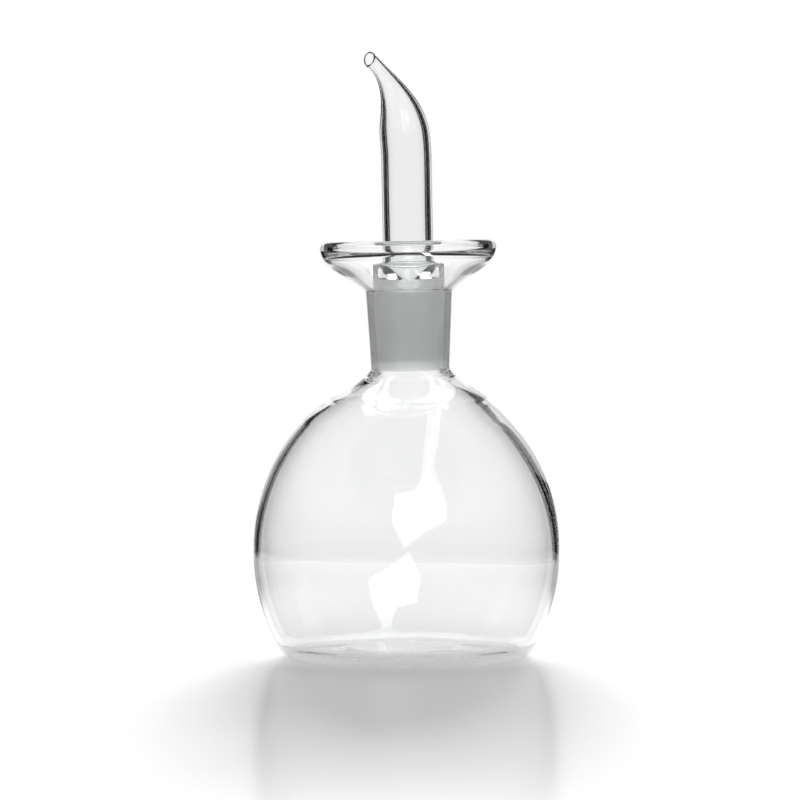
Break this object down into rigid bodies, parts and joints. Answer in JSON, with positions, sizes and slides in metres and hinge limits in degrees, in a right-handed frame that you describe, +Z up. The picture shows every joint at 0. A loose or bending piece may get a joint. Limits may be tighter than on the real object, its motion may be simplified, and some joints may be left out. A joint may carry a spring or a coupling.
{
  "type": "glass cruet",
  "caption": "Round clear glass cruet with a ground neck, a drip saucer round its mouth and a curved pourer standing in a ground cone, empty.",
  "frame": {"origin": "on the table under the middle of the bulb", "axes": "+Z up through the neck, -Y is the front, where the dimple in the pourer's cone is, and +X is to the right seen from the front"},
  "size_m": [0.1, 0.1, 0.1965],
  "materials": {
    "clear_glass": "clear and polished, with a ground grey-white band where the pourer's cone meets the neck"
  },
  "bodies": {
    "root": {"bottle": "clear_glass", "pourer": "clear_glass"}
  },
  "joints": []
}
